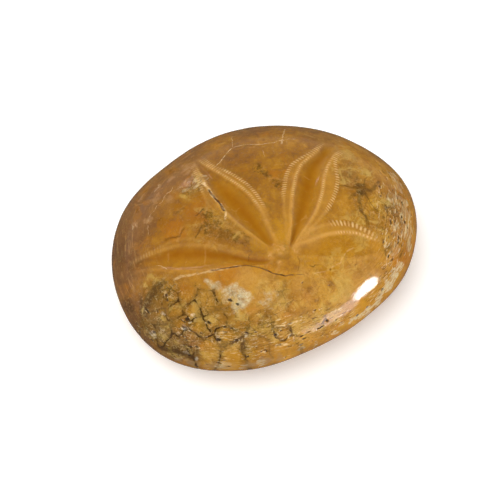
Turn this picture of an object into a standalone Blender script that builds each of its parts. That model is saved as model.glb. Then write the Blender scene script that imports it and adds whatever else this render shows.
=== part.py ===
"""Fossil sea urchin: a polished stone test with five petals round an off-centre apex, as one closed solid.

Lengths are in millimetres until the mesh is finished. +Z is up, +X runs along the long side and -Y is the front.
The origin is the middle of the ground base, on the surface that the fossil lies on.
"""

import math

import bmesh
import bpy

MM = 0.001

# Outline and profile. The radii run round the widest level every 30 degrees, starting at +X.
RIM_RADII = (37.9, 34.6, 31.6, 30.6, 31.3, 35.5, 37.8, 38.2, 33.7, 30.1, 31.0, 35.5)
RIM_HEIGHT = 10.5
DOME_RISE = 16.5
DOME_POWER = 2.25
BASE_DROP = 12.1  # more than RIM_HEIGHT, because the underside is ground off flat
BASE_POWER = 3.2
BASE_SHARE = (1 - (RIM_HEIGHT / BASE_DROP) ** 2) ** (1 / BASE_POWER)  # size of the flat, as a share of the rim

# Upper side: the petals radiate from the apex, where a small plate stands slightly proud.
# Bearings and bends are in degrees; the front petal is worn almost away.
APEX = (-0.6, -12.0)
APEX_PLATE_RADIUS = 3.4
APEX_PLATE_HEIGHT = 0.35
PETAL_START = 1.2  # distance from the apex at which the petals begin
PETAL_ONSET = 3.5  # stretch over which they sink to their full depth
PETALS = (
    {"bearing": -8, "bend": 3, "reach": 26.0, "half_width": 5.3, "power": 1.2, "depth": 0.9},
    {"bearing": 48, "bend": 4, "reach": 35.0, "half_width": 6.3, "power": 1.2, "depth": 1.3},
    {"bearing": 107, "bend": 1, "reach": 34.0, "half_width": 5.3, "power": 1.15, "depth": 1.3},
    {"bearing": 161, "bend": -8, "reach": 36.0, "half_width": 5.3, "power": 1.5, "depth": 1.2},
    {"bearing": 233, "bend": 0, "reach": 19.0, "half_width": 4.6, "power": 1.0, "depth": 0.35},
)
FLOOR_SHARE = 0.56  # half width of a petal's sunk floor, as a share of its own; the pore bands fill the rest
BAND_RISE = 0.3
BAND_EDGE = 0.45  # share of a pore band that slopes down to the stone beside it
CREASE_SHARE = 0.35  # how much of a floor's depth is a sharp crease along its middle

# Underside: the mouth in its shallow dish, five furrows between five lips, and the vent at the back.
MOUTH = (-0.5, -8.0)
DISH_RADIUS = 10.4
DISH_DEPTH = 2.2
MOUTH_RADIUS = 3.1
MOUTH_DEPTH = 2.8
MOUTH_WALL = 1.2
FURROW_REACH = 10.4
FURROW_HALF_WIDTH = 1.3
FURROW_DEPTH = 0.7
LIP_DISTANCE = 5.3
LIP_WIDTH = 1.4
LIP_HEIGHT = 0.7
VENT = (2.5, 23.6)
VENT_SIZE = (4.6, 6.2, 4.0)
VENT_SEGMENTS = 28

# Mesh: meridians run from the apex over the rim to the mouth, through these rings.
MERIDIANS = 120
APEX_RINGS = (0.0, 1.3, 2.6, 3.9)
DOME_RINGS = 18
EDGE_RINGS = 8
FLAT_RINGS = 2
MOUTH_RINGS = (0.0, 1.5, 3.1, 3.7, 4.3, 5.3, 6.6, 8.3, 10.4)


def rim_radius(bearing):
    """Radius of the outline at a bearing in radians: a smooth closed curve through the rim radii."""
    count = len(RIM_RADII)
    place = bearing % math.tau / math.tau * count
    first = int(place)
    t = place - first
    a, b, c, d = (RIM_RADII[(first + step) % count] for step in (-1, 0, 1, 2))
    return b + t * (c - a + t * (2 * a - 5 * b + 4 * c - d + t * (3 * (b - c) + d - a))) / 2


def rim_point(bearing):
    radius = rim_radius(bearing)
    return radius * math.cos(bearing), radius * math.sin(bearing)


def rim_share(x, y):
    """How far a point lies from the middle towards the rim, from 0 to 1."""
    return min(1.0, math.hypot(x, y) / rim_radius(math.atan2(y, x)))


def smooth_step(value):
    t = max(0.0, min(1.0, value))
    return t * t * (3 - 2 * t)


def angle_between(first, second):
    """Signed difference of two bearings in radians, from -pi to pi."""
    return (first - second + math.pi) % math.tau - math.pi


def petal_relief(petal, distance, bearing):
    """Height that a petal adds at a distance and bearing from the apex: a sunk floor between raised bands."""
    share = distance / petal["reach"]
    if not 0 < share < 1:
        return 0.0
    middle = math.radians(petal["bearing"] + petal["bend"] * (share - 0.5))
    across = abs(distance * angle_between(bearing, middle))
    spread = math.sin(math.pi * share ** petal["power"])
    onset = smooth_step((distance - PETAL_START) / PETAL_ONSET)
    half_width = petal["half_width"] * spread
    floor = half_width * FLOOR_SHARE
    rise = BAND_RISE * spread * min(1.0, petal["depth"])
    if across < floor:
        place = across / floor
        trough = (1 - place * place) * (1 - CREASE_SHARE) + (1 - place) * CREASE_SHARE
        return rise * place**4 - petal["depth"] * onset * spread**0.6 * trough
    if across < half_width:
        place = (half_width - across) / (half_width - floor)
        return rise * smooth_step(place / BAND_EDGE)
    return 0.0


def dome_point(x, y):
    """A point of the upper side: the dome, the petals sunk in it and the plate at the apex."""
    distance = math.hypot(x - APEX[0], y - APEX[1])
    bearing = math.atan2(y - APEX[1], x - APEX[0])
    height = RIM_HEIGHT + DOME_RISE * math.sqrt(1 - rim_share(x, y) ** DOME_POWER)
    height += sum(petal_relief(petal, distance, bearing) for petal in PETALS)
    height += APEX_PLATE_HEIGHT * smooth_step(2 - 2 * distance / APEX_PLATE_RADIUS)
    return x, y, height


def mouth_relief(x, y):
    """How deep the mouth, its dish, furrows and lips lie in the underside."""
    distance = math.hypot(x - MOUTH[0], y - MOUTH[1])
    bearing = math.atan2(y - MOUTH[1], x - MOUTH[0])
    off_furrow = min(abs(angle_between(bearing, math.radians(petal["bearing"]))) for petal in PETALS)
    depth = DISH_DEPTH * smooth_step(1 - distance / DISH_RADIUS)
    depth += MOUTH_DEPTH * smooth_step((MOUTH_RADIUS + MOUTH_WALL - distance) / MOUTH_WALL)
    fade = smooth_step((distance - MOUTH_RADIUS) / 2) * smooth_step((FURROW_REACH - distance) / 5)
    depth += FURROW_DEPTH * fade * math.exp(-((distance * off_furrow / FURROW_HALF_WIDTH) ** 2))
    lip = math.exp(-(((distance - LIP_DISTANCE) / LIP_WIDTH) ** 2)) * smooth_step(off_furrow * 2)
    return depth - LIP_HEIGHT * lip


def base_point(x, y):
    """A point of the underside: round at the rim and flat at the base, with the mouth sunk in it."""
    drop = BASE_DROP * math.sqrt(1 - rim_share(x, y) ** BASE_POWER)
    height = RIM_HEIGHT - min(drop, RIM_HEIGHT)
    return x, y, max(0.0, height + mouth_relief(x, y))


def between(start, end, share):
    return tuple(a + (b - a) * share for a, b in zip(start, end))


def polar(centre, radius, bearing):
    return centre[0] + radius * math.cos(bearing), centre[1] + radius * math.sin(bearing)


def turned(share):
    """Spaces rings evenly along a profile that turns down at its end, from 0 to 1."""
    return 0.12 * share + 0.88 * math.sin(share * math.pi / 2)


def dome_ring(ring, bearing):
    """Plan point of a ring of the upper side, counted from the apex: circles round it, then on to the rim."""
    if ring < len(APEX_RINGS):
        return polar(APEX, APEX_RINGS[ring], bearing)
    share = (ring - len(APEX_RINGS) + 1) / DOME_RINGS
    return between(polar(APEX, APEX_RINGS[-1], bearing), rim_point(bearing), turned(share))


def base_ring(ring, bearing):
    """Plan point of a ring of the underside, counted from the rim: in to the flat, then on to the mouth."""
    if ring <= EDGE_RINGS:
        share = BASE_SHARE + (1 - BASE_SHARE) * turned(1 - ring / EDGE_RINGS)
        return between((0, 0), rim_point(bearing), share)
    ring -= EDGE_RINGS
    if ring <= FLAT_RINGS:
        edge = between((0, 0), rim_point(bearing), BASE_SHARE)
        return between(edge, polar(MOUTH, MOUTH_RINGS[-1], bearing), ring / FLAT_RINGS)
    return polar(MOUTH, MOUTH_RINGS[FLAT_RINGS - ring - 1], bearing)


def surface_point(ring, bearing):
    """Where the vertex of a ring and bearing goes: rings count from the apex over the rim to the mouth."""
    rim_ring = len(APEX_RINGS) - 1 + DOME_RINGS
    if ring <= rim_ring:
        return dome_point(*dome_ring(ring, bearing))
    return base_point(*base_ring(ring - rim_ring, bearing))


def stone_material():
    """Polished honey-coloured calcite: a glossy stone with no metal in it."""
    material = bpy.data.materials.new("polished_calcite")
    material.use_nodes = True
    shader = material.node_tree.nodes["Principled BSDF"]
    shader.inputs["Base Color"].default_value = (0.45, 0.22, 0.045, 1.0)
    shader.inputs["Roughness"].default_value = 0.2
    shader.inputs["Metallic"].default_value = 0.0
    return material


def fossil_urchin():
    """The whole fossil: a sphere whose rings and meridians are moved onto the surface."""
    rings = len(APEX_RINGS) - 1 + DOME_RINGS + EDGE_RINGS + FLAT_RINGS + len(MOUTH_RINGS) - 1
    shape = bmesh.new()
    bmesh.ops.create_uvsphere(shape, u_segments=MERIDIANS, v_segments=rings, radius=1.0)
    for vertex in shape.verts:
        ring = round(math.acos(max(-1.0, min(1.0, vertex.co.z))) / math.pi * rings)
        bearing = math.atan2(vertex.co.y, vertex.co.x)
        vertex.co = [length * MM for length in surface_point(ring, bearing)]
    mesh = bpy.data.meshes.new("fossil_urchin")
    shape.to_mesh(mesh)
    shape.free()
    mesh.materials.append(stone_material())
    mesh.shade_smooth()
    fossil = bpy.data.objects.new("fossil_urchin", mesh)
    bpy.context.scene.collection.objects.link(fossil)
    return fossil


def vent_cutter():
    """An ellipsoid centred on the surface of the underside, which hollows out the vent."""
    shape = bmesh.new()
    bmesh.ops.create_uvsphere(shape, u_segments=VENT_SEGMENTS, v_segments=VENT_SEGMENTS // 2, radius=0.5 * MM)
    bmesh.ops.scale(shape, vec=VENT_SIZE, verts=shape.verts)
    mesh = bpy.data.meshes.new("vent_cutter")
    shape.to_mesh(mesh)
    shape.free()
    cutter = bpy.data.objects.new("vent_cutter", mesh)
    cutter.location = [length * MM for length in base_point(*VENT)]
    cutter.hide_render = True
    cutter.display_type = "WIRE"
    bpy.context.scene.collection.objects.link(cutter)
    return cutter


for old in list(bpy.data.objects):
    bpy.data.objects.remove(old)
vent = fossil_urchin().modifiers.new("vent", "BOOLEAN")
vent.object = vent_cutter()
vent.operation = "DIFFERENCE"
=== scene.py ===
"""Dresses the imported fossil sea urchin: the polished stone, the floor under it, the light and the camera."""

import math
import random

import bpy
import numpy as np
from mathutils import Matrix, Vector, noise


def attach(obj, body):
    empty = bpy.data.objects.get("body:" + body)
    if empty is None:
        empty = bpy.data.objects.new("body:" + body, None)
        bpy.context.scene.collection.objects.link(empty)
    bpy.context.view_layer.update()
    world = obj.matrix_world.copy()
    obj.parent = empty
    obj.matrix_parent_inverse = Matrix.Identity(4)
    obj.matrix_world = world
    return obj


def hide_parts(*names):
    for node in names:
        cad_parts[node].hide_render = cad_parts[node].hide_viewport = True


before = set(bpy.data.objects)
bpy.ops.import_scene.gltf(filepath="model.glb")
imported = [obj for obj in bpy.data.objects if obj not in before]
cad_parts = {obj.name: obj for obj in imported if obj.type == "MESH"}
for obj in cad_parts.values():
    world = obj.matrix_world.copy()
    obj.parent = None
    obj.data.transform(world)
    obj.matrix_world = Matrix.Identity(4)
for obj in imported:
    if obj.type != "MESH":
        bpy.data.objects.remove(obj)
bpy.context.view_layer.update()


# The stone's form.
# A sea urchin's test, filled and replaced by calcite, then tumbled and ground to a smooth low dome. Its
# widest level is an uneven oval, and its underside is ground flat, so that it lies still. All lengths are in
# millimetres.
MM = 0.001
RIM_RADII = (37.9, 34.6, 31.6, 30.6, 31.3, 35.5, 37.8, 38.2, 33.7, 30.1, 31.0, 35.5)
RIM_HEIGHT = 10.5
DOME_RISE = 16.5
DOME_POWER = 2.25
BASE_DROP = 12.1
BASE_POWER = 3.2


def curve_through(values, place, closed=False):
    """A smooth curve through evenly spaced values, at places counted in steps between them."""
    values = np.array(values)
    place = np.minimum(place, len(values) - (0 if closed else 1.001))
    first = np.floor(place).astype(int)
    t = place - first
    mode = "wrap" if closed else "clip"
    a, b, c, d = (np.take(values, first + step, mode=mode) for step in (-1, 0, 1, 2))
    return b + t * (c - a + t * (2 * a - 5 * b + 4 * c - d + t * (3 * (b - c) + d - a))) / 2


def rim_radius(bearing):
    """Radius of the outline at bearings in radians."""
    return curve_through(RIM_RADII, bearing % math.tau / math.tau * len(RIM_RADII), closed=True)


def smooth_step(value):
    t = np.clip(value, 0, 1)
    return t * t * (3 - 2 * t)


def angle_between(first, second):
    return (first - second + math.pi) % math.tau - math.pi


def bare_height(x, y, upper):
    """Height of the bare dome or of the bare underside over points of the plan."""
    share = np.minimum(np.hypot(x, y) / rim_radius(np.arctan2(y, x)), 1)
    dome = RIM_HEIGHT + DOME_RISE * np.sqrt(1 - share**DOME_POWER)
    base = RIM_HEIGHT - np.minimum(BASE_DROP * np.sqrt(1 - share**BASE_POWER), RIM_HEIGHT)
    return np.where(upper, dome, base)


def on_dome(x, y):
    """The point of the dome over a place of the plan; a place beyond the rim is drawn in to it."""
    reach = math.hypot(x, y) / (0.998 * float(rim_radius(np.array(math.atan2(y, x)))))
    x /= max(1.0, reach)
    y /= max(1.0, reach)
    return np.array((x, y, float(bare_height(np.array(x), np.array(y), True))))


def clouds(points, size, seed, octaves=3):
    """Soft random values from about -1 to 1 at points in millimetres, with lumps of about the given size."""
    offset = Vector((seed * 17.3, seed * 7.9, seed * 3.1))
    return np.array([noise.fractal(Vector(p) / size + offset, 1.0, 2.0, octaves) for p in points])


def wandered(points, reach, size, seed):
    """The points, each pushed aside by up to about the given reach, so that what is drawn by them wanders."""
    return points + reach * np.stack([clouds(points, size, seed + axis, 2) for axis in range(3)], 1)


# The petals.
# Five double rows of pores, through which the living urchin's tube feet passed, spread from the apex. Each
# pair of rows bounds a sunken floor; the front petal was almost ground away when the stone was polished.
APEX = (-0.6, -12.0)
APEX_PLATE_RADIUS = 3.4
APEX_PLATE_HEIGHT = 0.35
APEX_PLATE_STRETCH = 1.15  # its width against its length
APEX_LUMPS = (
    # x, y, radius, height
    (-0.3, -11.1, 1.4, 0.2), (-3.4, -11.6, 0.8, 0.15), (3.0, -12.2, 0.8, 0.14), (-1.7, -13.9, 0.55, 0.1),
    (-1.2, -9.4, 0.4, 0.08),
)
PETAL_START = 1.2
PETAL_ONSET = 3.5
PETAL_HALF_TURN = 1.3  # in radians: no petal bends further than this from its bearing
PETAL_TIP = 0.15  # share of a petal's length over which it ends
FADING_RUN = 9.0  # length over which a floor grows shallow
DEPTH_LOST = 0.55  # share of its depth that a floor loses there
COLOUR_LOST = 0.7  # share of its colour, partly painted shade, that it loses there
FLOOR_ROUNDING = 1.3  # above 1, the floor eases into its walls
FAINTEST = 0.4  # share of a row that is left where it is worn most
ROWS_FROM = 2.6  # where the rows begin to grow clearer, and the length over which they do
ROWS_RISE = 13.0
STATION = 6.0  # spacing of the stations along a petal, counted out from the apex
PETALS = (
    # At each station, "outer" and "inner" give how far the rows of pores stand from the petal's bearing:
    # first on its counter-clockwise side, then on the other. "rows" says how well each side shows, and
    # "pores_from" how far out its single pores begin to show. From "fades_from" outward the floor grows
    # shallow and takes the stone's tone. "band" is the strength of the darker band of painted shade on
    # the floor, and "band_at" its place across it, from -1 to 1. "pore_length" is how far a pore runs to
    # either side of its row. The pitch of the pores is drawn a little coarser than on a real urchin, where
    # it is about 0.5.
    {"bearing": -8, "reach": 25.0, "fades_from": 15.0, "depth": 0.55, "pitch": 0.78,
     "pore_length": 0.75, "band_at": 0.0, "band": 0.15,
     "outer": ((1.0, 3.2, 5.3, 5.0, 1.6), (-1.4, -2.7, -4.3, -3.7, -3.0)),
     "inner": ((0.9, 1.7, 2.9, 2.7, 0.6), (-0.9, -1.6, -2.7, -3.3, -2.2)),
     "rows": (1.0, 0.3), "pores_from": (13.5, 99)},
    {"bearing": 48, "reach": 35.0, "fades_from": 27.0, "depth": 1.0, "pitch": 0.64,
     "pore_length": 0.5, "band_at": 0.15, "band": 0.8,
     "outer": ((-1.0, 0.9, 3.7, 5.65, 6.1, 2.95, 1.9), (-2.4, -3.3, -5.2, -6.3, -5.6, -2.7, -4.2)),
     "inner": ((-1.4, -0.1, 1.9, 3.45, 4.1, 2.3, 1.6), (-1.8, -2.4, -3.6, -3.5, -2.15, -1.9, -3.2)),
     "rows": (0.8, 0.85), "pores_from": (14, 15)},
    {"bearing": 107, "reach": 35.0, "fades_from": 19.0, "depth": 1.0, "pitch": 0.62,
     "pore_length": 0.4, "band_at": 0.0, "band": 0.8,
     "outer": ((1.4, 3.3, 5.25, 5.85, 4.55, 1.9, 0.4), (-0.7, -1.9, -4.2, -5.1, -4.25, -2.4, -2.9)),
     "inner": ((0.7, 2.0, 3.3, 3.6, 2.65, 0.95, -0.6), (-0.4, -1.45, -3.2, -3.65, -2.65, -1.7, -1.4)),
     "rows": (0.6, 0.8), "pores_from": (24, 12)},
    {"bearing": 161, "reach": 37.0, "fades_from": 24.0, "depth": 0.8, "pitch": 0.64,
     "pore_length": 0.25, "band_at": -0.4, "band": 1.0,
     "outer": ((2.8, 3.2, 3.4, 3.9, 3.8, 3.0, 2.0), (0.6, 0.2, -1.7, -4.25, -5.45, -3.8, -2.75)),
     "inner": ((2.4, 2.7, 2.75, 3.1, 2.4, 0.8, 0.0), (1.2, 0.8, -0.95, -2.9, -3.85, -3.1, -2.1)),
     "rows": (0.2, 0.25), "pores_from": (99, 27)},
    {"bearing": 233, "reach": 19.0, "fades_from": 9.0, "depth": 0.1, "pitch": 0.5,
     "pore_length": 0.4, "band_at": 0.0, "band": 0.0,
     "outer": ((1.0, 3.6, 4.4, 2.6), (-1.0, -3.6, -4.4, -2.6)),
     "inner": ((0.6, 2.2, 2.6, 1.8), (-0.6, -2.2, -2.6, -1.8)),
     "rows": (0.0, 0.0), "pores_from": (99, 99)},
)
INNER_CREST = 0.22
INNER_CREST_WIDTH = 0.6
OUTER_CREST = 0.12
OUTER_CREST_WIDTH = 0.6
RIB_HEIGHT = 0.06
RIB_EDGE = 0.15  # how far the ends of a rib fade past its length
SHADE_BAND_HALF_WIDTH = 0.38  # as a share of the floor's half width
FAR = 6.0  # distance from the rows of pores that stands for anything further off


def petal_fields(x, y):
    """The relief of the petals at points of the plan, and where their floors and rows of pores lie."""
    distance = np.hypot(x - APEX[0], y - APEX[1])
    bearing = np.arctan2(y - APEX[1], x - APEX[0])
    names = ("relief", "floor", "band", "rows", "pores", "run", "window")
    fields = {name: np.zeros(x.shape) for name in names}
    fields["off_inner"] = np.full(x.shape, FAR)
    fields["off_outer"] = np.full(x.shape, FAR)
    for petal in PETALS:
        turn = angle_between(bearing, math.radians(petal["bearing"]))
        across = distance * turn
        share = np.clip(distance / petal["reach"], 0, 1)
        station = distance / STATION
        inner, other_inner = (curve_through(values, station) for values in petal["inner"])
        outer, other_outer = (curve_through(values, station) for values in petal["outer"])
        middle = (inner + other_inner) / 2
        half = (inner - other_inner) / 2
        first = across > middle
        off_inner = np.where(first, across - inner, other_inner - across)
        off_outer = np.where(first, across - outer, other_outer - across)
        lean = [np.gradient(values, STATION) for values in petal["outer"]]
        lean = np.where(first, curve_through(lean[0], station), -curve_through(lean[1], station))
        fade = smooth_step((distance - PETAL_START) / PETAL_ONSET) * smooth_step((1 - share) / PETAL_TIP)
        there = (np.abs(turn) < PETAL_HALF_TURN) & (share < 1)
        place = np.clip((across - middle) / half, -1, 1)
        worn = min(1.0, petal["depth"])
        shown = np.where(first, petal["rows"][0], petal["rows"][1])
        shown *= FAINTEST + (1 - FAINTEST) * smooth_step((distance - ROWS_FROM) / ROWS_RISE)
        shallow = smooth_step((distance - petal["fades_from"]) / FADING_RUN)
        sunk = petal["depth"] * (1 - DEPTH_LOST * shallow) * smooth_step(share * 6)
        crests = INNER_CREST * np.exp(-((off_inner / INNER_CREST_WIDTH) ** 2))
        crests += OUTER_CREST * np.exp(-((off_outer / OUTER_CREST_WIDTH) ** 2))
        crests *= (FAINTEST + (1 - FAINTEST) * shown) * worn
        relief = crests - sunk * (1 - place**2) ** FLOOR_ROUNDING
        fields["relief"] += np.where(there, fade * relief, 0)
        fields["floor"] += np.where(there, worn * fade * (1 - COLOUR_LOST * shallow) * (1 - place**2), 0)
        # The darker band is painted shade on the sunken floor.
        band = petal["band"] * np.exp(-(((place - petal["band_at"]) / SHADE_BAND_HALF_WIDTH) ** 2))
        fields["band"] += np.where(there, band * fade * (1 - shallow), 0)
        close = there & (off_outer < fields["off_outer"])
        started = distance - np.where(first, petal["pores_from"][0], petal["pores_from"][1])
        of_row = {
            "off_inner": off_inner,
            "off_outer": off_outer,
            "rows": shown * fade,
            "pores": shown * fade * smooth_step(started / 2),
            "run": (distance + lean * off_outer) / petal["pitch"],
            "window": smooth_step((petal["pore_length"] + RIB_EDGE - np.abs(off_outer)) / (2 * RIB_EDGE)),
        }
        for name, value in of_row.items():
            fields[name] = np.where(close, value, fields[name])
    wave = 0.5 + 0.5 * np.sin(math.tau * fields["run"])
    fields["ribs"] = fields["window"] * fields["pores"]
    fields["relief"] += RIB_HEIGHT * (wave - 0.5) * fields["ribs"]
    off_plate = np.hypot((x - APEX[0]) / APEX_PLATE_STRETCH, y - APEX[1]) / APEX_PLATE_RADIUS
    plate = smooth_step(2 - 2 * off_plate)
    fields["relief"] += APEX_PLATE_HEIGHT * plate
    fields["plate"] = plate
    fields["lumps"] = np.zeros(x.shape)
    for lump_x, lump_y, radius, rise in APEX_LUMPS:
        lump = np.exp(-((np.hypot(x - lump_x, y - lump_y) / radius) ** 2))
        fields["relief"] += rise * lump
        fields["lumps"] = np.maximum(fields["lumps"], lump)
    return fields


# The cracks and veins.
# Two old fractures are healed but for a dark gap: one crosses the stone just in front of the apex, the other
# follows the pores of one petal. Pale veins are plate joints that filled with white calcite, and dark ones
# took up iron.
CRACKS = (  # half width, strength, path
    (0.13, 1.0, ((-17.5, -9.7), (-15.8, -10.3), (-12.3, -10.9), (-9.0, -11.8), (-7.4, -12.8),
        (-3.8, -15.7), (-1.5, -16.9), (0.9, -17.6))),
    (0.08, 0.6, ((0.9, -17.6), (3.2, -18.1))),
    (0.2, 1.0, ((-10.4, 10.6), (-9.8, 7.6), (-9.0, 5.1), (-8.9, 2.7))),
)
PALE_VEINS = (
    (0.13, 0.45, ((1.4, 25.1), (-0.4, 20.4))),
    (0.12, 0.85, ((-0.4, 20.4), (-3.4, 18.2), (-6.3, 16.0))),
    (0.11, 0.6, ((-0.4, 20.4), (2.1, 20.1), (4.9, 19.0), (9.3, 17.8), (11.7, 18.1), (14.9, 17.5))),
    (0.2, 0.5, ((14.1, 22.7), (12.2, 19.2), (10.6, 16.5))),
    (0.12, 0.35, ((5.8, 16.8), (5.5, 14.0))),
    (0.13, 0.45, ((-17.4, 15.8), (-18.2, 14.4), (-19.2, 14.4), (-19.8, 13.9), (-20.4, 13.5),
        (-21.4, 12.5), (-22.5, 12.5), (-23.6, 11.2), (-24.9, 10.8), (-25.7, 9.9), (-26.9, 5.7))),
    (0.3, 0.4, ((-19.7, 19.0), (-20.0, 17.7), (-21.1, 17.3), (-22.1, 17.0))),
    (0.2, 0.35, ((-28.6, 11.2), (-28.5, 9.4))),
    (0.3, 0.3, ((-25.5, 10.2), (-26.4, 8.6))),
    (0.11, 0.6, ((-28.3, -2.3), (-27.0, -3.0), (-26.1, -5.0))),
    (0.3, 0.5, ((-26.0, -7.7), (-23.6, -8.0), (-20.4, -9.2), (-15.8, -10.3), (-12.3, -10.9),
        (-10.0, -11.6))),
    (0.36, 0.95, ((-10.9, 13.6), (-10.5, 10.6), (-9.8, 7.6), (-9.0, 5.1), (-8.9, 2.7), (-9.5, 0.6))),
    (0.24, 0.9, ((-7.8, -26.1), (-4.5, -26.5), (-0.8, -26.4))),
    (0.3, 0.8, ((-8.7, -29.2), (-5.1, -29.4))),
    (0.18, 0.7, ((23.9, -18.1), (22.8, -20.2))),
    (0.16, 0.7, ((24.8, -19.7), (24.1, -21.1))),
    (0.16, 0.7, ((-20.5, -22.6), (-18.0, -23.6), (-15.6, -24.2))),
    (0.2, 0.22, ((5.0, -18.4), (8.6, -18.6), (12.0, -17.6), (14.2, -15.8), (16.8, -15.0))),
)
DARK_VEINS = (
    (0.2, 0.7, ((-12.7, 5.9), (-15.7, 4.7))),
    (0.35, 0.4, ((-16.6, 8.3), (-19.5, 7.4))),
    (0.28, 0.6, ((-15.0, 1.7), (-17.8, -0.9))),
    (0.28, 0.5, ((-18.7, 3.3), (-20.6, 1.5), (-24.5, 2.6))),
    (0.12, 0.7, ((-7.6, -9.5), (-8.3, -11.3))),
    (0.14, 0.45, ((2.9, -13.4), (2.7, -15.0), (1.2, -16.9))),
    (0.13, 0.7, ((4.7, -16.3), (7.5, -17.4))),
    (0.5, 0.3, ((-2.5, -12.6), (-1.5, -13.1), (-0.5, -13.3), (0.7, -13.2), (1.6, -12.7))),
    (0.42, 0.7, ((24.0, -1.8), (21.7, -5.6), (21.9, -8.8), (21.7, -11.8))),
    (0.4, 0.6, ((19.5, -3.6), (21.8, -2.9), (24.0, -1.8), (26.4, -2.5), (29.8, 0.5))),
    (0.3, 0.45, ((24.0, -1.8), (23.4, 0.8), (24.7, 2.6))),
    (0.3, 0.45, ((26.4, -2.5), (28.0, -6.0), (27.5, -9.0))),
    (0.18, 0.5, ((24.0, -1.8), (20.5, 0.2), (18.2, 0.6))),
    (0.18, 0.6, ((24.0, -1.8), (24.6, -5.2), (25.6, -8.6))),
    (0.16, 0.5, ((24.0, -1.8), (27.0, 1.6))),
    (0.26, 0.9, ((-7.9, -26.5), (-7.9, -27.8), (-6.3, -28.6), (-4.4, -28.2), (-3.8, -26.7))),
    (0.2, 0.7, ((-3.9, -28.4), (-1.2, -28.8))),
    (0.3, 0.9, ((3.4, -28.2), (4.6, -27.2), (5.6, -27.9))),
    (0.6, 0.8, ((-33.9, -17.5), (-31.4, -20.3), (-29.0, -22.2), (-26.5, -24.5))),
    (0.35, 0.8, ((-15.6, -25.9), (-16.4, -27.6), (-15.2, -29.0))),
    (0.25, 0.7, ((-17.6, -27.1), (-14.4, -27.6))),
    (0.8, 0.65, ((-28.4, -6.6), (-30.8, -8.4), (-33.0, -9.6), (-34.3, -12.0))),
    (0.5, 0.3, ((-11.3, -25.0), (-9.8, -24.0), (-8.0, -22.6), (-5.8, -21.6), (-2.9, -19.8), (-1.9, -17.4))),
)


VEIN_TAPER = 2 / 3  # length over which each end of a vein tapers
VEIN_REACH = 2.4  # in half widths from its middle: a vein keeps its strength to here, then loses it
VEIN_FADE = 0.6  # over this length
LEAST_REACH = 0.3  # half width that the reach of a thinner vein is worked out from
FAR_ACROSS = 14  # place across a vein, in half widths, that stands for anything further off


def vein_fields(points, veins, seed, wander=0.3):
    """Place across the nearest vein (1 at its edge, with a sign for its side), and its strength there."""
    points = wandered(wandered(points, wander, 2.6, seed), 0.35 * wander, 0.7, seed + 3)
    best = np.full(len(points), 99.0)
    strength = np.zeros(len(points))
    for width, shown, path in veins:
        corners = [on_dome(*corner) for corner in path]
        legs = [(start, end - start, np.linalg.norm(end - start)) for start, end in zip(corners, corners[1:])]
        full = sum(length for _, _, length in legs)
        nearest = np.full(len(points), 99.0)
        side = np.ones(len(points))
        along = np.zeros(len(points))
        run = 0.0
        for start, leg, length in legs:
            share = np.clip((points - start) @ leg / length**2, 0, 1)
            away = points - start - share[:, None] * leg
            gap = np.linalg.norm(away, axis=1)
            closer = gap < nearest
            nearest = np.where(closer, gap, nearest)
            side = np.where(closer, np.sign(leg[0] * away[:, 1] - leg[1] * away[:, 0]), side)
            along = np.where(closer, run + share * length, along)
            run += length
        ends = smooth_step(along / VEIN_TAPER) * smooth_step((full - along) / VEIN_TAPER)
        reach = VEIN_REACH * max(width, LEAST_REACH) + VEIN_FADE
        near = smooth_step((reach - nearest) / VEIN_FADE)
        place = nearest / width
        closer = (place < np.abs(best)) & (near > 0)
        best = np.where(closer, place * side, best)
        strength = np.where(closer, shown * ends * near, strength)
    return np.clip(best, -FAR_ACROSS, FAR_ACROSS), strength


# The plates.
# The test was a mosaic of calcite plates. Where the polish has bitten into it, low on the left and front,
# the seams between them show as dark lines; elsewhere they are faint.
SHOWN_PLATES = (
    (-28.1, -14.5), (-24.0, -16.2), (-32.1, -16.9), (-34.5, -14.9), (-22.9, -24.2), (-17.8, -27.2),
    (-26.8, -20.8), (-28.0, -17.4), (-23.9, -20.0), (-30.1, -20.3), (-31.4, -13.6), (-20.4, -20.5),
    (-19.2, -23.8), (-31.3, -10.4), (-28.0, -11.7), (-24.5, -12.9), (-13.2, -28.2), (-20.9, -16.3),
)
PLATE_SIZE = 4.4
PLATE_COLUMNS = 20
PLATE_REACH = 52.0  # how far the columns run from the apex
PLATE_GAP = 0.8  # least distance to a listed plate, as a share of the size
SEAM = 0.13  # half width of a seam


def plate_centres():
    """Centres of the plates on the dome: those listed, then columns that spread from the apex."""
    centres = [on_dome(*plate) for plate in SHOWN_PLATES]
    shown = np.array(centres)
    rows = int(PLATE_REACH / PLATE_SIZE)
    for column in range(PLATE_COLUMNS):
        bearing = math.radians(column * 360 / PLATE_COLUMNS - 3)
        for row in range(2, rows):
            distance = (row + 0.5 * (column % 2)) * PLATE_SIZE
            x = APEX[0] + distance * math.cos(bearing)
            y = APEX[1] + distance * math.sin(bearing)
            if math.hypot(x, y) < rim_radius(np.array(math.atan2(y, x))) * 0.97:
                centre = on_dome(x, y)
                if np.min(np.linalg.norm(shown - centre, axis=1)) > PLATE_SIZE * PLATE_GAP:
                    centres.append(centre)
    return centres


def plate_fields(points):
    """Distance from each point to a seam between two plates, and a shade from 0 to 1 for its plate."""
    bent = wandered(wandered(points, 0.6, 2.5, 51), 0.22, 0.8, 55)
    nearest = np.full(len(points), 1e9)
    second = nearest.copy()
    shade = np.zeros(len(points))
    draw = random.Random(5)
    for centre in plate_centres():
        distance = np.linalg.norm(bent - centre, axis=1)
        second = np.minimum(second, np.maximum(nearest, distance))
        shade = np.where(distance < nearest, draw.random(), shade)
        nearest = np.minimum(nearest, distance)
    return (second - nearest) / 2, shade
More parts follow.
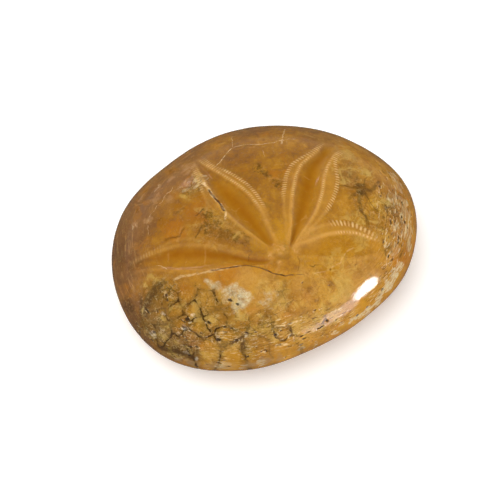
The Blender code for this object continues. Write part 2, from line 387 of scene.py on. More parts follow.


# The pits.
# Softer grains fell out as the margin was ground, and left small pits with sharp edges, thickest low
# along the front and at the right. Their pale edges are partly the stone's own and partly painted
# highlight. The larger ones are placed one by one.
LARGE_PITS = (
    # x, y, half width
    (-25.9, -17.5, 0.45), (-21.5, -20.1, 0.4), (-20.6, -24.0, 0.4), (-31.4, -12.4, 0.35),
    (-16.9, -25.5, 0.4), (-28.4, -10.2, 0.3), (-28.6, -11.3, 0.3), (-15.4, -17.7, 0.35), (-14.1, -19.1, 0.3),
    (28.0, -10.7, 0.4), (31.8, -10.6, 0.35), (31.5, -9.4, 0.3), (28.1, -4.0, 0.3), (29.0, -1.3, 0.3),
    (-33.6, -15.5, 0.35), (-27.1, -18.6, 0.4), (-7.9, -27.4, 0.35), (-4.2, -28.4, 0.35), (4.8, -27.7, 0.3),
    (24.2, -15.2, 0.3), (12.9, -27.4, 0.35), (15.8, -26.3, 0.35), (20.6, -23.9, 0.35), (7.6, -21.7, 0.2),
    (1.8, -19.5, 0.16),
)
LARGE_PIT_STRETCH = (1.2, 2.0)  # length against width, from and to
SMALL_PITS = 130
SMALL_PIT_SIZES = (0.1, 0.24)
SMALL_PIT_STRETCH = (1.2, 4.5)
NO_PIT = 3.0  # place in a pit, in its half widths, that stands for anything further off
PIT_ZONES = (
    # bearing from, to (degrees), height from, to, share of the pits
    (196, 252, 10.0, 20.5, 0.4),
    (252, 287, 9.0, 20.0, 0.25),
    (287, 318, 7.0, 12.0, 0.08),
    (322, 372, 9.0, 20.0, 0.27),
)


def scattered_pits():
    """Pits as centre, half length and half width: those listed, then more around the margin."""
    draw = random.Random(12)
    pits = [(on_dome(x, y), size * draw.uniform(*LARGE_PIT_STRETCH), size) for x, y, size in LARGE_PITS]
    for start, end, low, high, share in PIT_ZONES:
        for _ in range(int(SMALL_PITS * share)):
            bearing = math.radians(draw.uniform(start, end))
            height = draw.uniform(low, high)
            rise = min(0.999, abs(height - RIM_HEIGHT) / DOME_RISE)
            distance = (1 - rise**2) ** (1 / DOME_POWER) * float(rim_radius(np.array(bearing)))
            centre = np.array((distance * math.cos(bearing), distance * math.sin(bearing), height))
            size = draw.uniform(*SMALL_PIT_SIZES)
            pits.append((centre, size * draw.uniform(*SMALL_PIT_STRETCH), size))
    return pits


def pit_field(points):
    """Place in the nearest pit: 0 at its middle, 1 at its edge, and NO_PIT far from any."""
    nearest = np.full(len(points), NO_PIT)
    bent = wandered(points, 0.18, 0.8, 61)
    for centre, length, width in scattered_pits():
        near = np.abs(bent - centre).max(axis=1) < NO_PIT * length
        away = bent[near] - centre
        side = np.array((-centre[1], centre[0], 0)) / math.hypot(centre[0], centre[1])
        along = away @ side
        rest = np.linalg.norm(away - along[:, None] * side, axis=1)
        nearest[near] = np.minimum(nearest[near], np.hypot(along / length, rest / width))
    return nearest


# The underside.
# The mouth sits in a shallow dish between five swollen lips and five furrows; the vent opens towards the
# back edge.
MOUTH = (-0.5, -8.0)
DISH_RADIUS = 10.4
DISH_DEPTH = 2.2
MOUTH_RADIUS = 3.1
MOUTH_DEPTH = 2.8
MOUTH_WALL = 1.2
FURROW_HALF_WIDTH = 1.3
FURROW_DEPTH = 0.7
FURROW_ENDS = (2.0, 5.0)  # lengths over which a furrow fades, at the mouth and at the edge of the dish
LIP_DISTANCE = 5.3
LIP_WIDTH = 1.4
LIP_HEIGHT = 0.7
VENT = (2.5, 23.6)
VENT_SIZE = (4.6, 6.2, 4.0)


def underside_depth(x, y, height):
    distance = np.hypot(x - MOUTH[0], y - MOUTH[1])
    bearing = np.arctan2(y - MOUTH[1], x - MOUTH[0])
    off_furrow = np.min([np.abs(angle_between(bearing, math.radians(p["bearing"]))) for p in PETALS], axis=0)
    depth = DISH_DEPTH * smooth_step(1 - distance / DISH_RADIUS)
    depth += MOUTH_DEPTH * smooth_step((MOUTH_RADIUS + MOUTH_WALL - distance) / MOUTH_WALL)
    fade = smooth_step((distance - MOUTH_RADIUS) / FURROW_ENDS[0])
    fade *= smooth_step((DISH_RADIUS - distance) / FURROW_ENDS[1])
    depth += FURROW_DEPTH * fade * np.exp(-((distance * off_furrow / FURROW_HALF_WIDTH) ** 2))
    lip = np.exp(-(((distance - LIP_DISTANCE) / LIP_WIDTH) ** 2)) * smooth_step(off_furrow * 2)
    depth -= LIP_HEIGHT * lip
    centre = float(bare_height(np.array(VENT[0]), np.array(VENT[1]), False))
    inside = 1 - (2 * (x - VENT[0]) / VENT_SIZE[0]) ** 2 - (2 * (y - VENT[1]) / VENT_SIZE[1]) ** 2
    roof = centre + VENT_SIZE[2] / 2 * np.sqrt(np.maximum(inside, 0))
    return np.where(inside > 0, np.maximum(depth, roof - height), depth)


# The stone's mesh.
# A sphere of even triangles, split again where the surface carries fine relief, then drawn out to the
# stone's form.
bpy.ops.object.select_all(action="DESELECT")
bpy.ops.mesh.primitive_ico_sphere_add(subdivisions=6, radius=1.0)
stone = bpy.context.object
stone.name = "polished_urchin"
stone.data.name = "polished_urchin"


def plan_of(places):
    """Plan points and side of places on the unit sphere."""
    places = places / np.linalg.norm(places, axis=1)[:, None]
    radius = rim_radius(np.arctan2(places[:, 1], places[:, 0]))
    return places[:, 0] * radius, places[:, 1] * radius, places[:, 2] >= 0


def split_faces(wanted):
    """Splits the faces that the wanted test picks by their plan points, heights and side."""
    mesh = stone.data
    centres = np.zeros(len(mesh.polygons) * 3)
    mesh.polygons.foreach_get("center", centres)
    x, y, upper = plan_of(centres.reshape(-1, 3))
    chosen = wanted(x, y, bare_height(x, y, upper), upper)
    mesh.vertices.foreach_set("select", np.zeros(len(mesh.vertices), bool))
    mesh.edges.foreach_set("select", np.zeros(len(mesh.edges), bool))
    mesh.polygons.foreach_set("select", chosen)
    bpy.ops.object.mode_set(mode="EDIT")
    bpy.ops.mesh.select_mode(type="FACE")
    bpy.ops.mesh.subdivide(number_cuts=1, ngon=False)
    bpy.ops.object.mode_set(mode="OBJECT")


def carries_relief(x, y, height, upper):
    mouth = np.hypot(x - MOUTH[0], y - MOUTH[1]) < DISH_RADIUS
    vent = np.hypot(x - VENT[0], y - VENT[1]) < VENT_SIZE[1] * 0.7
    return upper | mouth | vent | (height > 3)


NEAR_VEIN = 5  # in half widths: faces nearer than this are split


def is_worked(x, y, height, upper):
    fields = petal_fields(x, y)
    points = np.stack([x, y, height], 1)
    petal = (fields["floor"] > 0.05) | (fields["off_outer"] < 1.5)
    veined = np.zeros(len(x), bool)
    for veins in (CRACKS, PALE_VEINS, DARK_VEINS):
        veined |= np.abs(vein_fields(points, veins, 0, 0)[0]) < NEAR_VEIN
    pitted = pit_field(points) < 2.9
    low_left = (x < -10) & (y < -9)
    lips = (np.hypot(x - MOUTH[0], y - MOUTH[1]) < 7) & ~upper
    return upper & (petal | veined | pitted | low_left) | lips


def is_fine(x, y, height, upper):
    fields = petal_fields(x, y)
    points = np.stack([x, y, height], 1)
    rows = (fields["ribs"] > 0.2) | ((np.abs(fields["off_inner"]) < 0.5) & (fields["rows"] > 0.5))
    cracked = np.abs(vein_fields(points, CRACKS, 0, 0)[0]) < NEAR_VEIN
    return upper & (rows | cracked | (pit_field(points) < 1.5))


def is_ribbed(x, y, height, upper):
    return upper & (petal_fields(x, y)["ribs"] > 0.55)


split_faces(carries_relief)
split_faces(is_worked)
split_faces(is_fine)
split_faces(is_ribbed)

mesh = stone.data
places = np.zeros(len(mesh.vertices) * 3)
mesh.vertices.foreach_get("co", places)
places = places.reshape(-1, 3)
x, y, upper = plan_of(places)
bare = np.stack([x, y, bare_height(x, y, upper)], 1)
petals = petal_fields(x, y)
depth = underside_depth(x, y, bare[:, 2])
formed = bare.copy()
formed[:, 2] += np.where(upper, petals["relief"], 0)
formed[:, 2] = np.where(upper, formed[:, 2], np.maximum(formed[:, 2] + depth, 0))
mesh.vertices.foreach_set("co", (formed * MM).ravel())
mesh.update()

normals = np.zeros(len(mesh.vertices) * 3)
mesh.vertex_normals.foreach_get("vector", normals)
normals = normals.reshape(-1, 3)
crack_place, crack_strength = vein_fields(bare, CRACKS, 11, 0.22)
pale_place, pale_strength = vein_fields(bare, PALE_VEINS, 21, 0.3)
dark_place, dark_strength = vein_fields(bare, DARK_VEINS, 31, 0.5)
seam_gap, plate_shade = plate_fields(bare)
pit_place = pit_field(bare)
flat = (~upper) & (bare[:, 2] < 0.02) & (depth < 0.01)

# Where the polish bit into the seams: fully low on the left, less along the front.
low_left = smooth_step((-13 - x) / 6) * smooth_step((-10 - y) / 3)
front = smooth_step((-22 - y) / 4) * smooth_step((6 - x) / 8)
dressed = np.where(upper, 1.0, smooth_step((bare[:, 2] - 4) / 6))  # stains run a little way under the rim
shown = np.clip(low_left + 0.45 * front, 0, 1) * dressed
CRACK_DEPTH = 0.35
SEAM_DEPTH = 0.12
PIT_DEPTH = 0.25
gaping = smooth_step(0.5 + 2.2 * clouds(bare, 2.4, 41, 3))
fine = -CRACK_DEPTH * np.exp(-((crack_place / 1.2) ** 2)) * crack_strength * gaping
fine -= SEAM_DEPTH * np.exp(-((seam_gap / (1.5 * SEAM)) ** 2)) * shown
fine -= PIT_DEPTH * smooth_step((1.25 - pit_place) / 0.8)
fine *= dressed
fine += 0.03 * clouds(bare, 3.0, 81, 2) * (0.3 + 0.7 * dressed)
fine *= ~flat
mesh.vertices.foreach_set("co", ((formed + fine[:, None] * normals) * MM).ravel())
mesh.update()


# The stone's colours.
# Iron stains the calcite honey and brown. Shade and stains are kept as soft values at the mesh's vertices.
TONE_SPOTS_AND_PAINTED_SHADE = (
    # x, y, radius, how much paler (or, below 0, browner). The browner places on the left and back are partly
    # painted shade.
    (-4, 26, 13, -0.13), (-27, 16, 12, -0.21), (16, 22, 10, -0.1), (27, 11, 6, 0.1), (-36, 4, 9, -0.42),
    (2, 9, 9, -0.1), (-20, 8, 8, -0.08), (-8, -4, 6, -0.22), (-6.5, -18, 5, 0.12), (9.7, -17, 8, 0.04),
    (7, -26, 8, 0.1), (-2, -28, 6, 0.12), (20, -24, 7, 0.12), (27, -12.5, 5, 0.05), (-35, -14, 7, -0.62),
    (-16, -27, 6, -0.05), (-8, -24, 6, 0.05), (26, -19, 4, -0.12), (-30, -22, 5, -0.3),
)
STAINS_AND_PAINTED_LIGHT = (
    # Name; the pattern that breaks up the edge, its middle, and by how much; the value at which the edge
    # reaches full cover, that cover, and the colour; then the spots, as plan place, radius and maybe a
    # strength below 1.
    # Partly a brown stain and partly painted shade, with a greyish painted reflection, over the back and the
    # left.
    ("umber", "ragged", 0.5, 1.2, 1.1, 0.45, "#7a5838", (
        (-27, 15, 9), (-20, 19, 8), (-34, 9, 6), (-37, 0, 4), (-12, 24, 7), (22, 17, 6), (5, 26, 5),
        (-36, -9, 4), (22, 2, 3), (-35, -15, 3))),
    ("rust", "ragged", 0.5, 2.0, 1.1, 0.5, "#b26a18", (
        (-14, -11.5, 2.2), (-12.5, -13.2, 2.2), (-15, -12.6, 1.6), (29, -18, 2.4), (26, -19, 2.4),
        (8, -28, 1.6), (-24, -12, 2.4), (-14.5, 6, 3), (-21, 4, 3), (-24, -24, 2), (2, -22.5, 2.5),
        (-3, -24.5, 2.2))),
    ("smoke", "ragged", 0.5, 2.4, 1.1, 0.8, "#4a321a", (
        (-28.6, -7, 1.4), (-30.8, -8.6, 2.0), (-33, -9, 2.2), (-33.8, -11, 2.0), (-34.2, -13.5, 1.6),
        (-33.4, -17.6, 1.6), (-31, -20.4, 1.8), (-28.4, -22.6, 1.8), (-26, -24.4, 1.5), (-37.2, -6, 2.4),
        (24, -2, 2.2), (-15.9, -27.6, 1.4))),
    ("gold", "ragged", 0.5, 2.0, 1.1, 0.6, "#c08a1a", (
        (-6, -2, 4), (-3, -7, 4), (3, -7, 4), (8, -17, 6), (13, -14, 5), (6, -24, 4), (-20, -24.5, 2.5),
        (-15.5, -28, 2.4), (14, -26, 2), (-10, 3, 3), (27, -6, 3))),
    ("amber", "ragged", 0.46, 2.6, 0.8, 0.7, "#9a6414", (
        (4.5, -20.6, 0.9), (2.4, -20.9, 0.7), (1.6, -21.7, 1.1), (7.6, -21.7, 1.0), (3.4, -23.2, 1.2),
        (-2.8, -23.0, 1.1), (-1.4, -24.8, 1.5), (1.0, -25.4, 1.4), (6.5, -25.2, 0.8), (10.4, -19.6, 1.3),
        (13.6, -18.6, 1.1), (8.6, -15.4, 1.4), (15.5, -21.0, 1.2), (17.5, -16.8, 1.3), (-1.6, -21.2, 1.4),
        (-24.0, 14.4, 1.0), (-27.4, 13.2, 1.4), (-15.7, 21.7, 1.2), (-23.6, 19.0, 1.1), (-18.5, 8.8, 1.3),
        (-23.0, 6.6, 1.5), (-12.6, 9.4, 1.0))),
    ("straw", "ragged", 0.48, 2.6, 1.1, 0.55, "#c2a350", (
        (-3.6, -18.8, 1.7), (-3.1, -20.4, 1.6), (-3.9, -22.0, 1.6), (9.6, -16.6, 2.2), (5.4, -26.2, 1.8),
        (11.0, -22.4, 2.0), (8.2, -24.2, 1.6), (18.6, -13.6, 2.0), (27.0, 4.0, 1.6), (25.2, 9.5, 1.8),
        (-8.5, -26.2, 2.4), (-3.0, -27.4, 2.4), (2.0, -27.6, 2.2), (7.4, -27.0, 2.0), (-12.6, -25.2, 1.8))),
    ("freckles", "ragged", 0.45, 1.6, 0.8, 0.85, "#7d4e0e", (
        (4.5, -20.6, 0.5), (2.4, -20.9, 0.4), (7.6, -21.7, 0.6), (3.4, -23.2, 0.45), (1.6, -21.5, 0.5),
        (-2.8, -23.0, 0.45), (6.5, -25.2, 0.45), (-1.4, -24.8, 0.4), (9.2, -18.2, 0.4), (12.6, -20.4, 0.45),
        (0.3, -21.0, 0.35), (10.8, -15.4, 0.4), (16.0, -18.8, 0.4), (-15.7, 21.7, 0.6), (-23.6, 19.0, 0.6),
        (-27.0, 14.2, 0.5), (-19.6, 9.6, 0.45), (-23.4, 8.0, 0.5), (21.8, 8.0, 0.4), (8.4, 19.9, 0.4))),
    ("bisque", "ragged", 0.5, 4.0, 1.1, 0.4, "#bf9360", (
        (-25.0, 17.3, 1.0), (-22.1, 14.3, 1.3), (-19.5, 12.4, 1.2), (-12.8, 20.4, 1.3), (-10.8, 19.5, 1.0),
        (-13.1, 18.0, 1.1), (-11.7, 16.2, 1.2), (-15.8, 13.8, 1.5), (-13.6, 13.8, 1.4), (-28.9, 10.6, 1.4),
        (-25.8, 9.2, 1.1), (-20.6, 17.4, 0.9), (-17.0, 18.6, 0.9))),
    ("cream", "ragged", 0.5, 1.4, 1.1, 0.22, "#cba368", (
        (-6.5, -15.6, 2), (-7, -18, 3), (-8.3, -20.6, 3), (-5.5, -18, 2.4), (-9.5, -22.5, 2.4),
        (-3.8, -17.6, 1.4), (-10, -14.5, 2.2), (0, -27, 6), (8, -25, 6), (-7, -23, 5), (15, -21.5, 5),
        (3, -20.5, 5), (6, -10, 4))),
    ("chalk", "ragged", 0.46, 2.4, 1.6, 1.0, "#d8cfac", (
        (-13.6, -17.6, 2.6), (-15.2, -16.6, 2.0), (-12.2, -17.9, 1.9), (-12.6, -19.4, 1.8),
        (-14.2, -19.6, 1.6), (-16.4, -17.2, 1.5, 0.8), (-16.4, -14.8, 1.5, 0.8), (-17.9, -13.0, 1.3, 0.65),
        (-6.2, -19.6, 1.6, 0.5), (-8.4, -21.0, 1.6, 0.5))),
    ("bleach", "flecked", 0.47, 7.0, 1.1, 0.8, "#d2c59e", (
        (12.5, -27.6, 1.0), (15.8, -26.9, 1.2), (19.7, -24.9, 1.4), (22.4, -23.2, 1.5), (24.4, -21.6, 1.5),
        (26.5, -20, 1.3), (9, -28.4, 0.9, 0.6), (10.8, -28.0, 1.0), (14.2, -27.3, 1.1), (17.8, -25.9, 1.2),
        (21.2, -24.0, 1.3), (-3, -30.4, 1.2, 0.45), (2, -30, 1.1, 0.5), (6.5, -29.3, 1.0, 0.5),
        (-21, -27.6, 1.4), (-17, -29.2, 1.3, 0.8), (-13, -30, 1.2, 0.5))),
    # Painted shade: a greyish band low along the front edge, where the margin turns under.
    ("haze", "flecked", 0.46, 2.5, 1.1, 0.6, "#9a8566", (
        (-28, -25.2, 1.6), (-24, -27.4, 1.8), (-20, -28.8, 1.8), (-16, -29.8, 1.8), (-12, -30.3, 1.6),
        (-8, -30.6, 1.4), (-3.4, -30.8, 1.2), (-31.4, -22.6, 1.4))),
    # Pale frosted patches that dull the gloss; their paleness is partly painted reflection, on the right
    # margin and at the back-left.
    ("frost", "flecked", 0.58, 7.0, 1.1, 0.72, "#d8c79c", (
        (31.5, -4.4, 2.0), (33, -6, 2.2), (32.3, -9, 2.6), (31.6, -12.6, 2.6), (28.5, -12.5, 2.0),
        (34.4, -1, 2.0), (-11, 13.8, 1.8), (-12.4, 13.4, 1.4), (-15, 13.6, 1.4), (31, -15.6, 2.0),
        (34.6, 2, 1.6), (-29.6, 10.4, 1.2, 0.6), (26, -17, 2))),
    # Painted highlights: pale flecks where the light glints on the edges of the pits.
    ("glint", "flecked", 0.52, 6.0, 1.1, 0.9, "#f0e8d4", (
        (-30.8, -13.8, 0.5), (-33.6, -15.5, 0.6), (-24.7, -17.9, 0.8), (-23.9, -17.4, 0.6),
        (-27.1, -18.6, 0.8), (-26.0, -19.4, 0.6), (-21.1, -23.6, 0.7), (-20.2, -23.0, 0.6),
        (-15.6, -25.9, 0.7), (-14.6, -25.4, 0.6), (-28.4, -22.6, 0.7), (-26.6, -24.2, 0.7),
        (-24.6, -24.4, 0.6), (-11.6, -26.6, 0.5), (-17.4, -26.4, 0.5))),
    ("moss", "mossy", 0.53, 5.0, 1.1, 0.75, "#4d3812", (
        (-12.5, 3.2, 2.2), (-10.9, 0.9, 1.6), (-14.2, 0.4, 1.8), (-9.2, -3.4, 2.2), (-11.6, -2.6, 1.8),
        (-7.4, -6.2, 1.6), (2.6, 12, 1.6), (3.4, 9.4, 1.6), (5.2, 5.6, 1.5), (24, -1.8, 1.8, 0.75),
        (-31, -8.8, 2.2), (-33.2, -9.6, 2.4), (-34, -12.4, 2.0), (-28.4, -11, 1.2), (-33, -17.5, 2),
        (-30, -21, 2), (-27, -23.6, 1.8), (-16, -26.8, 1.6), (-9.8, -24.6, 1.8), (24.2, -16.4, 1.6))),
)
BUSY = (
    # Places where veinlets and flecks crowd the surface, as x, y, radius and maybe a strength below 1.
    (-30, -11, 6), (-31, -16, 6), (-27, -20, 6), (-22, -19, 6), (-22, -24, 5), (-16, -25, 5), (-9, -26, 3),
    (30, -8, 3), (24, -2, 2), (-17, -19, 4), (-13, 13, 3), (8, -20, 7, 0.17), (15, -16, 6, 0.2),
    (2, -24, 6, 0.2), (20, -11, 5, 0.25), (-5, -21, 5, 0.35), (25, -8, 6, 0.4), (24, 3, 6, 0.3),
    (-12, 0, 6, 0.3),
)
STREAKED = (
    # Places where short dark and pale dashes lie along the margin.
    (-20, -26, 5), (-14, -27, 5), (-8, -27, 5), (-2, -28, 5), (4, -28, 4), (10, -27, 3), (18, -24.5, 3),
    (23, -20.5, 3), (27, -15, 5), (30, -9, 5), (31, -4, 4), (33, 1, 3), (-30, -20, 4),
)


def spotted(points, spots):
    """Soft spots, given as plan place, radius and maybe strength, from 0 outside to that strength within."""
    field = np.zeros(len(points))
    for px, py, radius, *strength in spots:
        away = np.linalg.norm(points - on_dome(px, py), axis=1)
        field = np.maximum(field, smooth_step((1.5 - away / radius) / 1.1) * (strength or [1.0])[0])
    return field


shade = np.full(len(x), 0.5)
# Paler and browner places; those on the left and back are partly painted shade.
for px, py, radius, paler in TONE_SPOTS_AND_PAINTED_SHADE:
    away = np.linalg.norm(bare - on_dome(px, py), axis=1)
    shade += paler * np.exp(-((away / radius) ** 2))
shade = 0.4 + (shade - 0.4) * dressed
bent = wandered(bare, 1.4, 3.5, 91)
values = {
    "shade": shade,
    "petal_floor_and_painted_shade": petals["floor"] * upper,
    "petal_painted_shade_band": petals["band"] * upper,
    "off_inner": petals["off_inner"],
    "off_outer": petals["off_outer"],
    "pore_rows": petals["rows"] * upper,
    "pores": petals["pores"] * upper,
    "pore_run": petals["run"],
    "ribs": petals["ribs"] * upper,
    "apex_plate": petals["plate"] * upper,
    "apex_lumps": petals["lumps"] * upper,
    "crack_place": crack_place,
    "crack_strength": crack_strength * dressed,
    "gaping": gaping,
    "pale_place": pale_place,
    "pale_strength": pale_strength * dressed,
    "dark_place": dark_place,
    "dark_strength": dark_strength * dressed,
    "seam_gap": np.clip(seam_gap, 0, 3),
    "seam_shown": shown,
    "plate_shade": plate_shade,
    "pit_place": NO_PIT + (pit_place - NO_PIT) * dressed,
    "busy": spotted(bent, BUSY) * dressed,
    "streaked": spotted(bent, STREAKED) * dressed,
}
for name, *_, spots in STAINS_AND_PAINTED_LIGHT:
    values[name] = spotted(bent, spots) * dressed
for name, value in values.items():
    mesh.attributes.new(name, "FLOAT", "POINT").data.foreach_set("value", value.astype(np.float32))
latitude = np.arcsin(places[:, 2] / np.linalg.norm(places, axis=1))
around = np.arctan2(y, x)
rim_places = np.stack([np.cos(around), np.sin(around), latitude], 1).astype(np.float32)
mesh.attributes.new("rim_place", "FLOAT_VECTOR", "POINT").data.foreach_set("vector", rim_places.ravel())
mesh.shade_smooth()


# The stone's material: calcite, cut and polished like marble.
# It is stained honey and brown by iron, and takes a wet-looking gloss that only the pits and cracks break.
# Light enters it for about a millimetre, which softens its finest marks.
calcite = bpy.data.materials.new("polished_honey_calcite")
calcite.use_nodes = True
shader = calcite.node_tree.nodes["Principled BSDF"]


def linear(hex_colour):
    """A colour written as sRGB hex, as the linear RGBA that shaders use."""
    parts = [int(hex_colour[i : i + 2], 16) / 255 for i in (1, 3, 5)]
    return [p / 12.92 if p <= 0.04045 else ((p + 0.055) / 1.055) ** 2.4 for p in parts] + [1.0]


def node(kind, links=(), output=0, tree=calcite.node_tree, **settings):
    """Adds a node and gives an output of it: links fill inputs by order or name, settings its properties."""
    made = tree.nodes.new("ShaderNode" + kind)
    for name, value in settings.items():
        setattr(made, name, value)
    for key, value in links.items() if isinstance(links, dict) else enumerate(links):
        if isinstance(value, bpy.types.NodeSocket):
            tree.links.new(value, made.inputs[key])
        else:
            made.inputs[key].default_value = value
    return made.outputs[output]


def masked(*masks):
    """The product of masks: each a number, an output, or an output with the limits it eases between."""
    share = None
    for mask in masks:
        if isinstance(mask, tuple):
            mask = node("MapRange", mask, interpolation_type="SMOOTHSTEP")
        share = mask if share is None else node("Math", (share, mask), operation="MULTIPLY")
    return share


def stained(under, stain, *masks):
    """The colour under a stain, which shows by the product of its masks."""
    return node("Mix", {0: masked(*masks), 6: under, 7: linear(stain)}, output=2, data_type="RGBA")


def unsettled(value, pattern, amount, middle=0.5):
    """The value, raised and lowered as the pattern goes above and below its middle."""
    centred = node("Math", (pattern, middle), operation="SUBTRACT")
    return node("Math", (centred, amount, value), operation="MULTIPLY_ADD")


# Mottling: noise whose lumps have these sizes. What is named "shown" says where the marks of that name show.
MOTTLES = (
    # name, size of the lumps (mm), detail, roughness, distortion
    ("cloudy", 7.0, 3, 0.55, 0.0), ("mottled", 2.0, 5, 0.68, 0.6), ("grainy", 0.6, 3, 0.6, 0.0),
    ("orange", 4.0, 3, 0.6, 1.0), ("olive", 3.1, 3, 0.6, 1.0), ("patchy", 4.2, 4, 0.62, 1.0),
    ("ragged", 1.3, 4, 0.7, 0.0), ("mossy", 0.9, 4, 0.65, 0.0), ("speckled", 0.7, 3, 0.6, 0.0),
    ("thick_veinlets", 3.0, 3, 0.6, 1.6), ("thick_veinlets_shown", 5.1, 2, 0.55, 0.0),
    ("thin_veinlets", 1.5, 3, 0.6, 1.6), ("thin_veinlets_shown", 2.55, 2, 0.55, 0.0),
    ("pale_veinlets", 2.1, 3, 0.6, 1.6), ("pale_veinlets_shown", 3.57, 2, 0.55, 0.0),
    ("wide_crackle_shown", 3.68, 3, 0.6, 0.0), ("fine_crackle_shown", 1.76, 3, 0.6, 0.0),
    ("pale_crackle_shown", 1.12, 3, 0.6, 0.0), ("rows_shown", 1.6, 3, 0.55, 0.0),
    ("plate_shown", 1.2, 3, 0.55, 0.0),
    ("dark_seams_shown", 3.0, 2, 0.55, 0.0), ("pale_seams_shown", 4.0, 2, 0.55, 0.0),
    ("pale_veins_shown", 0.9, 2, 0.55, 0.0), ("dark_pits_shown", 1.5, 2, 0.55, 0.0),
    ("gloss", 2.0, 3, 0.55, 0.0), ("tooth", 0.5, 3, 0.55, 0.0), ("frosting", 0.35, 2, 0.55, 0.0),
)
place = node("TexCoord", output="Object")
mottle = {
    name: node(
        "TexNoise", {"Vector": place, "Scale": 1 / (size * MM), "Detail": detail, "Roughness": roughness,
                     "Distortion": distortion})
    for name, size, detail, roughness, distortion in MOTTLES
}

# Streaks, flecks and dashes run round the margin, where the polish cuts the plates on edge.
STREAKS = (
    # name, length along the margin and width across it (mm), shift, detail, roughness
    ("streaky", 5.0, 0.4, 0.0, 4, 0.6), ("flecked", 2.333, 0.579, 0.0, 3, 0.6),
    ("dark_dashes", 2.19, 0.423, 0.0, 3, 0.65), ("pale_dashes", 2.19, 0.423, 7.0, 3, 0.65),
    ("brown_dashes", 2.19, 0.423, 13.0, 3, 0.65),
)
RIM_SPAN = (35, 22)  # millimetres that one unit of rim_place spans along the margin and across it
rim_place = node("Attribute", output="Vector", attribute_name="rim_place")
for name, length, width, shift, detail, roughness in STREAKS:
    scale = (RIM_SPAN[0] / length, RIM_SPAN[0] / length, RIM_SPAN[1] / width)
    drawn_out = node("Mapping", {"Vector": rim_place, "Scale": scale, "Location": (shift, shift, shift)})
    mottle[name] = node(
        "TexNoise", {"Vector": drawn_out, "Scale": 1.0, "Detail": detail, "Roughness": roughness})
field = {name: node("Attribute", output="Fac", attribute_name=name) for name in values}

# Cloudy body colour, from brown to pale honey, with orange and olive drifts, and streaks round the margin.
TONES = (
    (0.0, "#5e3d1c"), (0.25, "#80552a"), (0.42, "#9a6924"), (0.58, "#b47f28"), (0.75, "#c59438"),
    (1.0, "#d8b372"),
)
tone = field["shade"]
for name, strength in (("cloudy", 0.5), ("mottled", 0.6), ("grainy", 0.5)):
    tone = unsettled(tone, mottle[name], strength)
colour = node("ValToRGB", (tone,))
tones = colour.node.color_ramp.elements
for at, (stop, hex_colour) in enumerate(TONES):
    element = tones[at] if at < 2 else tones.new(stop)
    element.position = stop
    element.color = linear(hex_colour)
colour = stained(colour, "#b8721c", (mottle["orange"], 0.55, 0.75, 0.0, 0.45))
colour = stained(colour, "#7d6a2c", (mottle["olive"], 0.58, 0.75, 0.0, 0.35))
margin = masked((node("SeparateXYZ", (rim_place,), output="Z"), 0.85, 0.45))
colour = stained(colour, "#6b4a22", margin, (mottle["streaky"], 0.55, 0.72), 0.5)
colour = stained(colour, "#d0a462", margin, (mottle["streaky"], 0.45, 0.3), 0.45)

# Stains, among them some painted shade, painted reflections and painted highlights, each with an edge that its
# pattern breaks up.
flecks = masked((mottle["grainy"], 0.3, 0.6, 0.42, 1.0))
for name, pattern, middle, break_up, full, cover, hex_colour, _ in STAINS_AND_PAINTED_LIGHT:
    edge = masked(unsettled(field[name], mottle[pattern], break_up, middle), (field[name], 0.0, 0.3))
    colour = stained(colour, hex_colour, (edge, 0.0, full, 0.0, cover), flecks)

# Veinlets, thin where their mottling crosses its middle value, and crowded in the busy places.
busy = field["busy"]
crowd = node("Math", (busy, 0.85, 0.15), operation="MULTIPLY_ADD")
for name, width, strength, hex_colour in (
    ("thick_veinlets", 0.03, 0.75, "#4f3c1a"), ("thin_veinlets", 0.035, 0.55, "#5e4720"),
    ("pale_veinlets", 0.022, 0.5, "#dcbf86"),
):
    off_middle = node("Math", (mottle[name], 0.5), operation="SUBTRACT")
    off_middle = node("Math", (off_middle,), operation="ABSOLUTE")
    colour = stained(
        colour, hex_colour, (off_middle, width, 0.0), (mottle[name + "_shown"], 0.45, 0.6), crowd, strength)

# Crackle between small warped cells, in the busy places alone, and patches of brown and straw under it.
CRACKLE_DRIFT = 1.4  # size of the lumps that warp the cells, and how far they do
CRACKLE_BEND = 1.1
drift = node("TexNoise", {"Vector": place, "Scale": 1 / (CRACKLE_DRIFT * MM), "Detail": 4.0}, output="Color")
warped = node("MixRGB", {"Fac": CRACKLE_BEND * MM, "Color1": place, "Color2": drift}, blend_type="ADD")
for name, size, width, strength, low, hex_colour in (
    ("wide_crackle", 2.3, 0.09, 0.9, 0.42, "#3f2c12"), ("fine_crackle", 1.1, 0.12, 0.7, 0.48, "#4a3718"),
    ("pale_crackle", 0.7, 0.2, 0.6, 0.5, "#d8bb82"),
):
    cells = node("TexVoronoi", {"Vector": warped, "Scale": 1 / (size * MM)}, output="Distance",
                 feature="DISTANCE_TO_EDGE")
    colour = stained(
        colour, hex_colour, (cells, width, 0.01), (mottle[name + "_shown"], low, low + 0.1), busy, strength)
colour = stained(colour, "#8b7038", busy, (mottle["cloudy"], 0.35, 0.6), 0.4)
colour = stained(colour, "#8a5a18", (mottle["patchy"], 0.51, 0.62), (busy, 0.0, 0.2), 0.5)
colour = stained(colour, "#ccab58", (mottle["patchy"], 0.47, 0.36), (busy, 0.0, 0.2), 0.45)
for name, low, strength, hex_colour in (
    ("dark_dashes", 0.56, 0.75, "#49300f"), ("pale_dashes", 0.58, 0.8, "#ddc796"),
    ("brown_dashes", 0.55, 0.6, "#8a6224"),
):
    colour = stained(colour, hex_colour, (mottle[name], low, low + 0.07), field["streaked"], strength)
colour = stained(colour, "#6b4716", (mottle["grainy"], 0.52, 0.75), 0.3)
colour = stained(colour, "#d8a956", (mottle["grainy"], 0.48, 0.25), 0.25)
